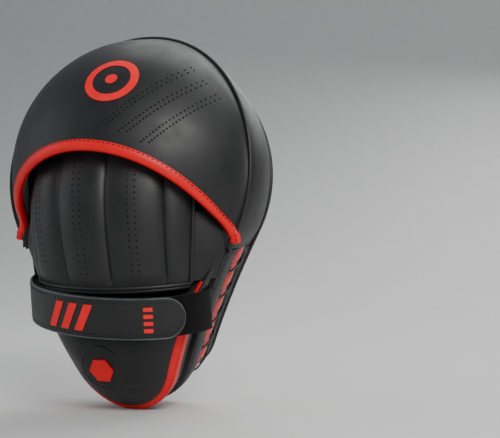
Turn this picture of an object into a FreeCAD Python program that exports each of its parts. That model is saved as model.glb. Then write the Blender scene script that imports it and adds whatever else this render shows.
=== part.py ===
"""Curved boxing focus pad for the left hand: a padded striking body with a domed finger hood, a quilted
hand-back pad, a crowned wrist pad, laced side gussets and a hook-and-loop wrist strap.

The whole pad is bent about one line that runs along X. A point is placed by x, by its angle up that bend,
and by its height h above the back seam surface: h is positive towards the holder (-Y) and negative
towards the striking face (+Y). Millimetres, +Z up towards the finger end.
"""

import FreeCAD
import Part

import math
import os

# ---- driving dimensions ------------------------------------------------------------------------------
BEND_R = 280.0            # radius of the back seam surface about the bend line
BEND_Z = 127.0            # height of the bend line
BODY_T = 53.0             # striking body, back seam surface to striking face
HEAD_R, HEAD_Z = 98.0, 167.0   # round upper end of the outline, seen from the back
HEEL_R, HEEL_Z = 48.0, 48.0    # round lower end
TAPER = 0.0010            # how much narrower the outline gets per millimetre towards the striking face
SKIN = 1.6                # synthetic leather with its backing
GAP = 0.3                 # clearance between neighbouring pieces
FACE_EDGE_R = 9.0         # rounding of the striking face's rim

FACE_SEAM_H = -44.0       # seam between the face cover and the side band
INSERT_H = (-33.0, -22.5)  # red lacing insert, low and high edge
JUNCTION_DEG = -3.0       # where the head band meets the lower gusset
INSERT_TOP_DEG = -4.0     # upper ends of the lacing insert
LACE_BARS = 5             # lace crossings on each side

HOOD_Y, HOOD_Z = 43.0, 167.0   # centre of the ball that the hood is a cap of
HOOD_SEMI = (105.0, 105.0, 100.0)  # half width, depth and half height of that ball
HOOD_FOAM = 9.0
HOOD_LINING = 1.4
MOUTH_A, MOUTH_B = 85.0, 70.0  # half width and height of the hood's arched mouth
MOUTH_Z = 112.0           # foot of the arch
BINDING_W = 7.5           # red binding on the hood mouth
BINDING_T = 1.2

PAD_A, PAD_B = 68.0, 51.0      # hand-back pad: half width and height of its arched section
PAD_FOAM = 8.0
PAD_LINING = 1.3
PAD_DEG = (-6.4, 12.5)    # lower and upper end of the hand-back pad
CHANNEL_EDGES = (20.0, 38.0, 73.0, 107.0, 142.0, 160.0)  # quilting lines round the arch, in degrees
WING_DEG = (-6.6, -1.4, 4.0)   # the side wings: lower edge, middle and upper edge

WRIST_INSET = 4.0         # wrist pad outline inside the body outline
WRIST_A, WRIST_B = 54.0, 42.0  # crown across the wrist pad
WRIST_ROLL_R = 98.9       # crown along the wrist pad
WRIST_ROLL_Y, WRIST_ROLL_Z = 63.0, 81.7
WRIST_WALL_H = 14.0       # height of the wrist pad's side wall
WRIST_BINDING_H = (11.0, 18.5)  # red binding round the wrist pad's edge
WRIST_BINDING_TOP_DEG = -14.0   # it stops just under the strap
WRIST_RAMP = ((44.0, -27.5), (112.0, -1.0))   # z and y at both ends of the ramp down to the palm
BADGE_X = -6.0
BADGE_R = 17.0
EMBLEM_R = 9.0            # plain hexagon on the badge
BADGE_DEG = 35.5          # how far the badge faces downwards
HEEL_FLAT_Z = -3.5        # the flat that the pad stands on

STRAP_DEG = -10.4         # middle of the wrist strap on the bend
STRAP_HALF = 14.0         # half of the strap's width
STRAP_A, STRAP_B = 73.5, 54.1  # outside of the closed strap
STRAP_SKEW = 3.0          # the strap's free end hangs lower, in degrees
STRAP_T = 1.9
STRAP_TIP, STRAP_ROOT = 32.0, 173.0   # free end and sewn end round the arch, in degrees
HOOK_T = 1.1
BAND_T = 1.8              # elastic band with loop pile
TAB_T = 2.0               # tabs that sew the band to the gussets
EDGING_W = 1.5

PIPING_R = 1.6
CUT = 400.0               # larger than the pad, for cutting tools

V = FreeCAD.Vector
X_AXIS = V(1, 0, 0)
parts = {}


# ---- placing on the bend -----------------------------------------------------------------------------
def bent(x, deg, h):
    """The point at x, at that angle up the bend and that height above the back seam surface."""
    a = math.radians(deg)
    return V(x, BEND_R - (BEND_R + h) * math.cos(a), BEND_Z + (BEND_R + h) * math.sin(a))


def outward(deg):
    a = math.radians(deg)
    return V(0, -math.cos(a), math.sin(a))


def along(deg):
    a = math.radians(deg)
    return V(0, math.sin(a), math.cos(a))


def swept(face, low_deg, high_deg):
    """A flat profile in the plane z = BEND_Z, turned about the bend line between two angles."""
    start = face.copy()
    start.rotate(V(0, BEND_R, BEND_Z), X_AXIS, -low_deg)
    return start.revolve(V(0, BEND_R, BEND_Z), X_AXIS, low_deg - high_deg)


def layer(h_low, h_high, low_deg=-45.0, high_deg=45.0, x_low=-140.0, x_high=140.0):
    """The space between two heights above the back seam surface."""
    corners = [V(x_low, -h_low, BEND_Z), V(x_high, -h_low, BEND_Z),
               V(x_high, -h_high, BEND_Z), V(x_low, -h_high, BEND_Z), V(x_low, -h_low, BEND_Z)]
    return swept(Part.Face(Part.makePolygon(corners)), low_deg, high_deg)


def arch_face(a, b, outer, inner, from_deg, to_deg):
    """A stretch of an elliptical arch's wall, between two depths below its outside."""
    centre = V(0, 0, BEND_Z)
    low, high = math.radians(360 - to_deg), math.radians(360 - from_deg)
    over = Part.Arc(Part.Ellipse(centre, a - outer, b - outer), low, high).toShape()
    under = Part.Arc(Part.Ellipse(centre, a - inner, b - inner), low, high).toShape()
    first = Part.LineSegment(over.Vertexes[0].Point, under.Vertexes[0].Point).toShape()
    last = Part.LineSegment(over.Vertexes[1].Point, under.Vertexes[1].Point).toShape()
    return Part.Face(Part.Wire(Part.__sortEdges__([over, last, under, first])))


def arch_solid(a, b, low_deg, high_deg):
    """The solid under an elliptical arch that follows the bend."""
    half = Part.Arc(Part.Ellipse(V(0, 0, BEND_Z), a, b), math.pi, 2 * math.pi).toShape()
    ends = [v.Point for v in half.Vertexes]
    feet = [V(p.x, 30.0, BEND_Z) for p in ends]
    edges = [half, Part.LineSegment(ends[1], feet[1]).toShape(),
             Part.LineSegment(feet[1], feet[0]).toShape(), Part.LineSegment(feet[0], ends[0]).toShape()]
    return swept(Part.Face(Part.Wire(Part.__sortEdges__(edges))), low_deg, high_deg)


# ---- the outline -------------------------------------------------------------------------------------
def outline(inset):
    """Points round the outline on the back seam surface, as x and z: two arcs and their tangent lines."""
    lean = math.asin((HEAD_R - HEEL_R) / (HEAD_Z - HEEL_Z))
    right = []
    for i in range(13):
        t = math.pi / 2 - (math.pi / 2 + lean) * i / 12
        right.append(((HEAD_R - inset) * math.cos(t), HEAD_Z + (HEAD_R - inset) * math.sin(t)))
    top, low = right[-1], ((HEEL_R - inset) * math.cos(lean), HEEL_Z - (HEEL_R - inset) * math.sin(lean))
    for i in range(1, 4):
        right.append((top[0] + (low[0] - top[0]) * i / 4, top[1] + (low[1] - top[1]) * i / 4))
    for i in range(6):
        t = -lean - (math.pi / 2 - lean) * i / 5
        right.append(((HEEL_R - inset) * math.cos(t), HEEL_Z + (HEEL_R - inset) * math.sin(t)))
    return right + [(-x, z) for x, z in right[-2:0:-1]]


def half_width(inset, z):
    """How far the outline reaches sideways at a height on the back seam surface, between its two arcs."""
    lean = math.asin((HEAD_R - HEEL_R) / (HEAD_Z - HEEL_Z))
    if z > HEAD_Z - HEAD_R * math.sin(lean):
        return math.sqrt((HEAD_R - inset) ** 2 - (z - HEAD_Z) ** 2)
    return (HEEL_R - inset + (z - HEEL_Z) * math.sin(lean)) / math.cos(lean)


def outline_at(inset, h):
    """The outline's points carried radially to another height, narrowing towards the face."""
    points = []
    for x, z in outline(inset):
        deg = math.degrees(math.asin((z - BEND_Z) / BEND_R))
        p = bent(x, deg, h)
        points.append(V(x * (1 - TAPER * p.y), p.y, p.z))
    return points


def prism(inset, y_back=-95.0, y_front=115.0):
    """The outline carried radially through the whole pad."""
    wires = []
    for y in (y_back, y_front):
        points = []
        for x, z in outline(inset):
            slope = math.tan(math.asin((z - BEND_Z) / BEND_R))
            points.append(V(x * (1 - TAPER * y), y, BEND_Z + (BEND_R - y) * slope))
        curve = Part.BSplineCurve()
        curve.interpolate(points, PeriodicFlag=True)
        wires.append(Part.Wire(curve.toShape()))
    return Part.makeLoft(wires, True, True)


def body_block(inset):
    """The striking body with its face rim rounded, inset all over."""
    front_r = BEND_R - BODY_T + inset
    block = layer(-BODY_T + inset, -inset if inset else 0.0).common(prism(inset))
    rim = []
    for edge in block.Edges:
        middle = edge.valueAt((edge.FirstParameter + edge.LastParameter) / 2)
        if abs(math.hypot(middle.y - BEND_R, middle.z - BEND_Z) - front_r) < 0.05:
            rim.append(edge)
    return block.makeFillet(FACE_EDGE_R - inset, rim)


# ---- the striking body -------------------------------------------------------------------------------
def build_body():
    whole, core = body_block(0.0), body_block(SKIN)
    skin = whole.cut(core)
    parts["hood_piping"] = piping(-PIPING_R, JUNCTION_DEG)
    parts["face_piping"] = piping(FACE_SEAM_H, -45)
    parts["face_cover"] = skin.common(layer(-BODY_T - 5, FACE_SEAM_H))
    parts["head_band"] = skin.common(layer(FACE_SEAM_H, -SKIN, JUNCTION_DEG, 45))
    parts["gusset_front_rail"] = skin.common(layer(FACE_SEAM_H, INSERT_H[0], -45, JUNCTION_DEG))
    parts["gusset_back_rail"] = skin.common(layer(INSERT_H[1], -SKIN, -45, JUNCTION_DEG))
    parts["lace_insert"] = skin.common(layer(*INSERT_H, -45, INSERT_TOP_DEG))
    parts["gusset_tabs"] = skin.common(layer(*INSERT_H, INSERT_TOP_DEG, JUNCTION_DEG))
    parts["palm_panel"] = skin.common(layer(-SKIN, 5))
    parts["strike_foam"] = core.common(layer(-BODY_T - 5, -20.0))
    parts["gel_sheet"] = core.common(layer(-20.0, -14.0))
    parts["backing_board"] = core.common(layer(-14.0, -11.0))
    parts["palm_foam"] = core.common(layer(-11.0, 0.0))
    ball_r, ball_h = 30.0, 9.0
    ball = Part.makeSphere(ball_r, bent(0, 4.0, ball_h - ball_r))
    parts["palm_ball"] = ball.common(layer(GAP, 40))


def lace_bar(fraction, side):
    """One flat lace crossing the insert, at a fraction of the way down the gusset."""
    length, width, thick = 15.5, 3.4, 1.4
    h = sum(INSERT_H) / 2
    curve = Part.BSplineCurve()
    curve.interpolate(outline_at(-thick / 2 - 2 * GAP, h), PeriodicFlag=True)
    first, last = curve.FirstParameter, curve.LastParameter
    start, stop = 0.316, 0.440          # share of the outline between the top and the heel
    t = first + (last - first) * (start + (stop - start) * fraction)
    here, tangent = curve.value(t), curve.tangent(t)[0]
    deg = math.degrees(math.asin((here.z - BEND_Z) / (BEND_R + h)))
    up = outward(deg)
    slant = (up + tangent * 0.22).normalize()
    out = slant.cross(tangent).normalize()
    bar = Part.makeBox(length, width, thick, V(-length / 2, -width / 2, -thick / 2))
    third = slant.cross(out) * -1.0
    bar = bar.makeFillet(0.5, [e for e in bar.Edges if abs(e.tangentAt(e.FirstParameter).x) > 0.9])
    frame = FreeCAD.Matrix(slant.x, third.x, out.x, here.x, slant.y, third.y, out.y, here.y,
                           slant.z, third.z, out.z, here.z, 0, 0, 0, 1)
    bar = bar.transformGeometry(frame)
    return bar if side > 0 else bar.mirror(V(0, 0, 0), X_AXIS)


def build_lacing():
    bars = []
    for i in range(LACE_BARS):
        for side in (1, -1):
            bars.append(lace_bar(i / (LACE_BARS - 1), side))
    parts["lace"] = Part.makeCompound(bars)


def piping(h, low_deg):
    """A corded welt that stands out of a seam, all the way round or only above an angle up the bend."""
    ring = prism(-PIPING_R).cut(prism(0.0))
    return ring.common(layer(h - PIPING_R, h + PIPING_R, low_deg, 45))


# ---- the finger hood ---------------------------------------------------------------------------------
def dome(inset):
    """The ball that the hood is a cap of, held within the body's outline and inset all over."""
    ball = Part.makeSphere(1.0)
    size = FreeCAD.Matrix()
    size.scale(*[s - inset for s in HOOD_SEMI])
    ball = ball.transformGeometry(size)
    ball.translate(V(0, HOOD_Y, HOOD_Z))
    return ball.common(prism(inset)) if inset >= 0 else ball


def mouth(outset):
    """What is cut away below the hood's arched mouth, made larger all round by outset."""
    centre = V(0, -CUT / 2, MOUTH_Z)
    arch = Part.Ellipse(V(0, 0, 0), MOUTH_A + outset, MOUTH_B + outset)
    face = Part.Face(Part.Wire(arch.toShape()))
    face.rotate(V(0, 0, 0), X_AXIS, 90)
    face.translate(centre)
    below = Part.makeBox(CUT, CUT, CUT, V(-CUT / 2, -CUT / 2, MOUTH_Z - CUT))
    return face.extrude(V(0, CUT, 0)).fuse(below)


def build_hood():
    foam_in, lining_in = SKIN + HOOD_FOAM, SKIN + HOOD_FOAM + HOOD_LINING
    behind = layer(GAP, 120)
    mouth_cut = mouth(0.0)
    domes = {d: dome(d).common(behind) for d in (0.0, SKIN, foam_in, lining_in)}
    parts["hood_cover"] = domes[0.0].cut(domes[SKIN]).cut(mouth_cut)
    parts["hood_foam"] = domes[SKIN].cut(domes[foam_in]).cut(mouth_cut)
    parts["hood_lining"] = domes[foam_in].cut(domes[lining_in]).cut(mouth_cut)
    wrap = dome(-BINDING_T).cut(dome(lining_in + BINDING_T)).common(behind)
    wrap = wrap.cut(mouth(-BINDING_T)).common(mouth(BINDING_W))
    core = dome(-0.1).cut(dome(lining_in + 0.1)).cut(mouth(-0.1))
    parts["hood_binding"] = wrap.cut(core)


# ---- the hand-back pad -------------------------------------------------------------------------------
def side_wing(side):
    """The leather panel between the hand-back pad's edge and the body's seam."""
    sections = []
    low = math.radians(CHANNEL_EDGES[0])
    inner, height = PAD_A * math.cos(low) + 0.6, PAD_B * math.sin(low)
    for deg in WING_DEG:
        z = bent(0, deg, 0).z
        outer = half_width(1.5, z)
        corners = [(inner, height - SKIN), (inner, height), (outer, GAP + SKIN), (outer - SKIN, GAP)]
        points = [bent(side * x, deg, h) for x, h in corners]
        sections.append(Part.makePolygon([*points, points[0]]))
    inner_skin = dome(SKIN + HOOD_FOAM + HOOD_LINING + BINDING_T + GAP)
    hood = dome(-BINDING_T - GAP).cut(inner_skin).cut(mouth(-BINDING_T - GAP))
    pieces = Part.makeLoft(sections, True, True).cut(hood).Solids
    return max(pieces, key=lambda piece: piece.Volume)


def build_hand_pad():
    foam_in = SKIN + PAD_FOAM
    low, high = CHANNEL_EDGES[0], CHANNEL_EDGES[-1]
    parts["hand_pad_cover"] = swept(arch_face(PAD_A, PAD_B, 0, SKIN - 0.1, low, high), *PAD_DEG)
    parts["hand_pad_lining"] = swept(arch_face(PAD_A, PAD_B, foam_in + 0.1, foam_in + PAD_LINING,
                                               low, high), *PAD_DEG)
    for i in range(5):
        start, stop = CHANNEL_EDGES[i] + 0.4, CHANNEL_EDGES[i + 1] - 0.4
        channel = arch_face(PAD_A, PAD_B, SKIN, foam_in, start, stop)
        parts[f"finger_channel_{i + 1}"] = swept(channel, *PAD_DEG)
    edge_deg = 0.55
    edging = arch_face(PAD_A + 0.4, PAD_B + 0.4, 0, foam_in + PAD_LINING + 0.8, low, high)
    parts["hand_pad_edging"] = swept(edging, PAD_DEG[0] - edge_deg, PAD_DEG[0] - 0.05)
    parts["side_wing_left"], parts["side_wing_right"] = side_wing(-1), side_wing(1)


# ---- the wrist pad -----------------------------------------------------------------------------------
def crown(offset, low_deg=-45.0):
    """The wrist pad's crowned top, moved outwards by offset."""
    roll = Part.makeCylinder(WRIST_ROLL_R + offset, CUT, V(-CUT / 2, WRIST_ROLL_Y, WRIST_ROLL_Z), X_AXIS)
    return roll.common(arch_solid(WRIST_A + offset, WRIST_B + offset, low_deg, 20))


def ramp(offset):
    """What is cut away so that the wrist pad slopes down to the palm."""
    (z0, y0), (z1, y1) = WRIST_RAMP
    run = V(0, y1 - y0, z1 - z0).normalize()
    normal = V(0, -run.z, run.y)
    start = V(0, y0, z0) + normal * offset - run * 6
    corners = [start, start + run * 200, start + run * 200 + normal * 150, start + normal * 150]
    face = Part.Face(Part.makePolygon([p - X_AXIS * 100 for p in [*corners, corners[0]]]))
    return face.extrude(X_AXIS * 200)


def above(z):
    """The space above a height."""
    return Part.makeBox(CUT, CUT, CUT, V(-CUT / 2, -CUT / 2, z))


def build_wrist_pad():
    behind = layer(GAP, 80, -45, -3.5)
    outside = prism(WRIST_INSET).common(crown(0.0)).common(behind).cut(ramp(0.0))
    outside = outside.common(above(HEEL_FLAT_Z))
    inside = prism(WRIST_INSET + SKIN).common(crown(-SKIN)).common(behind).cut(ramp(-SKIN))
    inside = inside.common(above(HEEL_FLAT_Z + SKIN))
    skin = outside.cut(inside)
    parts["wrist_pad_foam"] = inside
    parts["wrist_pad_cover"] = skin.common(layer(WRIST_WALL_H, 80))
    parts["wrist_pad_wall"] = skin.common(layer(0, WRIST_WALL_H))
    rim = prism(WRIST_INSET - 1.8).cut(prism(WRIST_INSET - 0.2))
    rim = rim.common(layer(*WRIST_BINDING_H, -45, WRIST_BINDING_TOP_DEG)).common(above(HEEL_FLAT_Z))
    parts["wrist_pad_binding"] = rim
    face = V(0, -math.cos(math.radians(BADGE_DEG)), -math.sin(math.radians(BADGE_DEG)))
    middle = V(BADGE_X, WRIST_ROLL_Y, WRIST_ROLL_Z) + face * WRIST_ROLL_R
    disc = Part.makeCylinder(BADGE_R, 30, middle - face * 15, face)
    parts["badge_disc"] = disc.common(crown(1.4).cut(crown(0.2)))
    across, up = X_AXIS, X_AXIS.cross(face) * -1.0
    up = up if up.z > 0 else up * -1.0
    turns = [math.radians(30 + 60 * i) for i in range(6)]
    corners = [middle + across * EMBLEM_R * math.cos(t) + up * EMBLEM_R * math.sin(t) for t in turns]
    tool = Part.Face(Part.makePolygon([p - face * 15 for p in [*corners, corners[0]]])).extrude(face * 30)
    parts["badge_emblem"] = tool.common(crown(3.0).cut(crown(1.6)))


# ---- the wrist strap ---------------------------------------------------------------------------------
def strap_piece(outer, inner, from_deg, to_deg, half, tip_r=None):
    """A stretch of strap of constant arched section, square to the bend; tip_r rounds its free end."""
    def stretch(start, stop):
        face = arch_face(STRAP_A, STRAP_B, outer, inner, start, stop)
        face.rotate(V(0, BEND_R, BEND_Z), X_AXIS, -STRAP_DEG)
        run = along(STRAP_DEG)
        face.translate(run * -half)
        return face.extrude(run * 2 * half)
    if tip_r is None:
        return skewed(stretch(from_deg, to_deg))
    round_to = from_deg + tip_r * 1.02
    phi = math.radians(round_to)
    point = V(STRAP_A * math.cos(phi), -STRAP_B * math.sin(phi), BEND_Z)
    normal = V(STRAP_B * math.cos(phi), -STRAP_A * math.sin(phi), 0).normalize()
    rod = Part.makeCylinder(tip_r, 40, point - normal * 20, normal)
    rod.rotate(V(0, BEND_R, BEND_Z), X_AXIS, -STRAP_DEG)
    tip = stretch(from_deg - 4, round_to).common(rod)
    return skewed(stretch(round_to, to_deg).fuse(tip).removeSplitter())


def skewed(shape):
    """The strap and its band, turned a little so that the free end hangs lower."""
    shape.rotate(bent(0, STRAP_DEG, 0), V(0, 1, 0), STRAP_SKEW)
    return shape


def build_strap():
    whole = strap_piece(0, STRAP_T, STRAP_TIP, STRAP_ROOT, STRAP_HALF, STRAP_HALF)
    core_half = STRAP_HALF - EDGING_W
    core = strap_piece(-1, STRAP_T + 1, STRAP_TIP + EDGING_W, STRAP_ROOT + 5, core_half, core_half)
    parts["strap_edging"] = whole.cut(core)
    parts["wrist_strap"] = whole.common(core)
    hook_in = STRAP_T + 0.1
    parts["hook_patch"] = strap_piece(hook_in, hook_in + HOOK_T, STRAP_TIP + 9, 78, STRAP_HALF - 3)
    parts["strap_anchor"] = strap_piece(0, STRAP_T, STRAP_ROOT + 0.4, 176.5, STRAP_HALF)
    band_in = hook_in + HOOK_T + 0.3
    parts["loop_band"] = strap_piece(band_in, band_in + BAND_T, 4.5, 175.5, STRAP_HALF)
    flange = prism(-GAP - TAB_T).cut(prism(-GAP))
    for side, name in ((-1, "band_tab_left"), (1, "band_tab_right")):
        spans = sorted((side * 40.0, side * 100.0))
        parts[name] = flange.common(layer(-12.0, 2.0, STRAP_DEG - 2.6, STRAP_DEG + 2.6, *spans))


def main():
    build_body()
    build_lacing()
    build_hood()
    build_hand_pad()
    build_wrist_pad()
    build_strap()
    boxes = [shape.optimalBoundingBox(False, False) for shape in parts.values()]
    lo = [min(getattr(box, k) for box in boxes) for k in ("XMin", "YMin", "ZMin")]
    hi = [max(getattr(box, k) for box in boxes) for k in ("XMax", "YMax", "ZMax")]
    print("box", [round(v, 2) for v in lo], [round(v, 2) for v in hi])
    shift = V(0, -(lo[1] + hi[1]) / 2, -lo[2])
    print("shift", [round(v, 3) for v in shift])
    os.makedirs("parts", exist_ok=True)
    for name, shape in parts.items():
        shape.translate(shift)
        print(name, "solids", len(shape.Solids), "valid", shape.isValid(), "volume", round(shape.Volume, 1))
        shape.exportStep(f"parts/{name}.step")


main()
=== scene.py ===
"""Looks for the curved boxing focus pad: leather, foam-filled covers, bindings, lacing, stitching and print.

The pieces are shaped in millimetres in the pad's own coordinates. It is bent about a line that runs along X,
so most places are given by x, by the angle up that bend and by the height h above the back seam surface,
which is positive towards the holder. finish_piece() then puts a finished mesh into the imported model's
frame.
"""

import math
import random

import bmesh
import bpy
from mathutils import Matrix, Vector
from mathutils.bvhtree import BVHTree


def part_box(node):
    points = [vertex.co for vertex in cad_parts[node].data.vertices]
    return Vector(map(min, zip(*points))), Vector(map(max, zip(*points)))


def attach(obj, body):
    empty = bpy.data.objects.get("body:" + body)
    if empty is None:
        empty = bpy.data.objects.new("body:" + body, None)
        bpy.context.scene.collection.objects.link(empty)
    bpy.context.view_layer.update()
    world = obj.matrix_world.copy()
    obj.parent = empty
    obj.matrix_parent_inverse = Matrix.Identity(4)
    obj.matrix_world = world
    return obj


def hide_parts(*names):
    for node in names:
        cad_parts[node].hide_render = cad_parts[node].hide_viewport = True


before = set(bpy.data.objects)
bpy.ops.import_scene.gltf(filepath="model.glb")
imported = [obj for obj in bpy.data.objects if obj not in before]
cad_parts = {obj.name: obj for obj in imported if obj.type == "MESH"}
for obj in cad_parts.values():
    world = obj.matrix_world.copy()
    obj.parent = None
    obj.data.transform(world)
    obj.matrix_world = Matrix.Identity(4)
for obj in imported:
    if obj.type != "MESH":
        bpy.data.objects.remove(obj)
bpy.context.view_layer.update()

random.seed(7)

# ---- driving dimensions, in millimetres and degrees --------------------------------------------------
MM = 0.001
BEND_R, BEND_Z = 280.0, 127.0
HEAD_R, HEAD_Z = 98.0, 167.0
HEEL_R, HEEL_Z = 48.0, 48.0
TAPER = 0.0010
FACE_H = -53.0
FACE_SEAM_H = -44.0
FACE_EDGE_R = 9.0
JUNCTION_Z = 112.3
INSERT_H = -27.75
INSERT_HALF = 6.3
LACES = 5
LEATHER = 1.6

HOOD_Y, HOOD_Z = 42.0, 167.0
HOOD_R, HOOD_RZ = 102.5, 99.0
MOUTH_A, MOUTH_B, MOUTH_Z = 85.0, 70.0, 112.0

PAD_SECTION = ((-8.0, 67.5, 50.5), (-4.0, 69.5, 53.0), (1.0, 71.5, 55.5), (5.0, 71.5, 55.0),
               (9.0, 69.5, 50.5),
               (13.0, 67.0, 47.5))
PAD_DEG = (-7.1, 12.5)
QUILT_LINES = ((38.5, 43.0), (75.0, 79.5), (105.5, 113.5), (139.0, 146.0))
QUILT_ENDS = (20.0, 160.0)

WRIST_INSET = 4.0
WRIST_TOP_Z = 108.0
WRIST_WALL_H = 14.0
WRIST_CROWN = ((-5.0, 25.0), (12.0, 30.5), (25.0, 34.0), (42.0, 37.0), (55.0, 36.0), (68.0, 29.0),
               (90.0, 14.0),
               (110.0, 2.0))
BADGE_R = 17.0
BADGE_X, BADGE_Z = -6.0, 28.0

STRAP_DEG = -10.4
STRAP_HALF = 14.0
STRAP_A, STRAP_B = 73.5, 54.1
STRAP_TIP, STRAP_ROOT = 32.0, 173.0
STRAP_SKEW = 3.0
STRAP_T = 1.9

STITCH_PITCH = 3.6

LEAN = math.asin((HEAD_R - HEEL_R) / (HEAD_Z - HEEL_Z))
HEAD_ARC = (math.pi / 2 + LEAN) * HEAD_R
STRAIGHT = math.sqrt((HEAD_Z - HEEL_Z) ** 2 - (HEAD_R - HEEL_R) ** 2)
HALF_RIM = HEAD_ARC + STRAIGHT + (math.pi / 2 - LEAN) * HEEL_R

seam_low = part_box("palm_panel")[0]
HOME = Vector((0, seam_low.y, seam_low.z))


# ---- places on the pad -------------------------------------------------------------------------------
def lerp(a, b, t):
    return a + (b - a) * t


def smooth(t):
    t = min(1.0, max(0.0, t))
    return t * t * (3 - 2 * t)


def along(values, x):
    """A smooth curve through (x, y) points."""
    for i in range(len(values) - 1):
        (x0, y0), (x1, y1) = values[i], values[i + 1]
        if x <= x1 or i == len(values) - 2:
            before = values[i - 1] if i else (2 * x0 - x1, 2 * y0 - y1)
            after = values[i + 2] if i < len(values) - 2 else (2 * x1 - x0, 2 * y1 - y0)
            m0 = (y1 - before[1]) / (x1 - before[0]) * (x1 - x0)
            m1 = (after[1] - y0) / (after[0] - x0) * (x1 - x0)
            t = min(1.0, max(0.0, (x - x0) / (x1 - x0)))
            a, b = 2 * t ** 3 - 3 * t * t + 1, t ** 3 - 2 * t * t + t
            return a * y0 + b * m0 + (1 - a) * y1 + (t ** 3 - t * t) * m1


def bent(x, deg, h):
    a = math.radians(deg)
    return Vector((x, BEND_R - (BEND_R + h) * math.cos(a), BEND_Z + (BEND_R + h) * math.sin(a)))


def carry(x, z, h):
    """A point of the back seam surface carried radially to another height."""
    p = bent(x, math.degrees(math.asin((z - BEND_Z) / BEND_R)), h)
    p.x *= 1 - TAPER * p.y
    return p


def seam_y(z):
    return BEND_R - math.sqrt(BEND_R ** 2 - (z - BEND_Z) ** 2)


def outline(s, inset=0.0):
    """x and z on the outline, at a distance s from its top, clockwise as the holder sees it."""
    s = s % (2 * HALF_RIM)
    side = 1 if s <= HALF_RIM else -1
    s = s if side > 0 else 2 * HALF_RIM - s
    if s < HEAD_ARC:
        a = math.pi / 2 - s / HEAD_R
        x, z = (HEAD_R - inset) * math.cos(a), HEAD_Z + (HEAD_R - inset) * math.sin(a)
    elif s < HEAD_ARC + STRAIGHT:
        t = (s - HEAD_ARC) / STRAIGHT
        x = lerp((HEAD_R - inset) * math.cos(LEAN), (HEEL_R - inset) * math.cos(LEAN), t)
        z = lerp(HEAD_Z - (HEAD_R - inset) * math.sin(LEAN), HEEL_Z - (HEEL_R - inset) * math.sin(LEAN), t)
    else:
        a = -LEAN - (s - HEAD_ARC - STRAIGHT) / HEEL_R
        x, z = (HEEL_R - inset) * math.cos(a), HEEL_Z + (HEEL_R - inset) * math.sin(a)
    return side * x, z


def rim(s, inset, h):
    x, z = outline(s, inset)
    return carry(x, z, h)


def s_at(z):
    """The distance along the right side's straight run at which the outline reaches a height."""
    return HEAD_ARC + (HEAD_Z - HEAD_R * math.sin(LEAN) - z) / math.cos(LEAN)


JUNCTION_S = s_at(JUNCTION_Z)
INSERT_TOP_S = s_at(110.0)
LACE_S = [lerp(0.316, 0.440, i / (LACES - 1)) * 2 * HALF_RIM for i in range(LACES)]


def hood_y(x, z, inset=0.0):
    """The hood's outer surface: a dome that eases down onto the back seam surface."""
    r = 1 - ((z - HOOD_Z) / (HOOD_RZ - inset)) ** 2
    dome = HOOD_Y - math.sqrt(max(0.0, r * (HOOD_R - inset) ** 2 - x * x))
    floor = seam_y(z) - 0.8
    gap = max(0.0, 9.0 - abs(dome - floor)) / 9.0
    return min(dome, floor) - gap * gap * 9.0 / 4


def mouth(t, outset=0.0):
    """x and z on the hood's mouth, for t from 0 at the left foot to 1 at the right foot."""
    a = math.pi * (1 - t)
    return (MOUTH_A + outset) * math.cos(a), MOUTH_Z + (MOUTH_B + outset) * math.sin(a)


def mouth_frame(t):
    """A point on the hood's mouth edge, the way up its skin from there, and the way out of it."""
    t = lerp(0.022, 0.978, t)
    x, z = mouth(t)
    here = Vector((x, hood_y(x, z), z))
    x, z = mouth(t, 5.0)
    rise = (Vector((x, hood_y(x, z), z)) - here).normalized()
    x, z = mouth(t + 0.001)
    outward = (Vector((x, hood_y(x, z), z)) - here).cross(rise).normalized()
    return here, rise, -outward if outward.y > 0 else outward


def arch(phi, deg, out):
    """On the hand-back pad's arched section, out of its face by that much."""
    a = math.radians(phi)
    half = along([(d, w) for d, w, _ in PAD_SECTION], deg)
    height = along([(d, t) for d, _, t in PAD_SECTION], deg)
    return bent((half + out) * math.cos(a), deg, (height + out) * math.sin(a))


def strap_point(phi, w, out):
    """On the closed strap's outside: round the arch, across its width, and out of its face."""
    a = math.radians(phi)
    x, h = (STRAP_A + out) * math.cos(a), (STRAP_B + out) * math.sin(a)
    run = math.radians(STRAP_DEG)
    p = bent(x, STRAP_DEG, h) + Vector((0, math.sin(run), math.cos(run))) * w
    pivot = bent(0, STRAP_DEG, 0)
    return pivot + Matrix.Rotation(math.radians(STRAP_SKEW), 3, "Y") @ (p - pivot)


# ---- making meshes -----------------------------------------------------------------------------------
def finish_piece(bm, name, body, material, replaces=(), smooth_shaded=True):
    """Turns a bmesh in pad millimetres into a piece of the object."""
    bmesh.ops.scale(bm, vec=(MM, MM, MM), verts=bm.verts)
    bmesh.ops.translate(bm, vec=HOME, verts=bm.verts)
    for face in bm.faces:
        face.smooth = smooth_shaded
    mesh = bpy.data.meshes.new(name)
    bm.to_mesh(mesh)
    bm.free()
    piece = bpy.data.objects.new(name, mesh)
    bpy.context.scene.collection.objects.link(piece)
    mesh.materials.append(material)
    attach(piece, body)
    if replaces:
        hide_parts(*replaces)
    return piece


def patch(across, up, place, inside=None):
    """A sheet of quads from a grid, each corner put where place(u, v) says, facing away from inside."""
    bm = bmesh.new()
    bm.loops.layers.uv.new("UVMap")
    bmesh.ops.create_grid(bm, x_segments=across, y_segments=up, size=0.5, calc_uvs=True)
    for v in bm.verts:
        v.co = place(v.co.x + 0.5, v.co.y + 0.5)
    bmesh.ops.remove_doubles(bm, verts=bm.verts, dist=0.02)
    if inside is not None:
        away = sum((f.calc_center_median() - inside).normalized().dot(f.normal) * f.calc_area()
                   for f in refreshed(bm).faces)
        if away < 0:
            bmesh.ops.reverse_faces(bm, faces=bm.faces)
    return bm


def refreshed(bm):
    bm.normal_update()
    return bm


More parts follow.
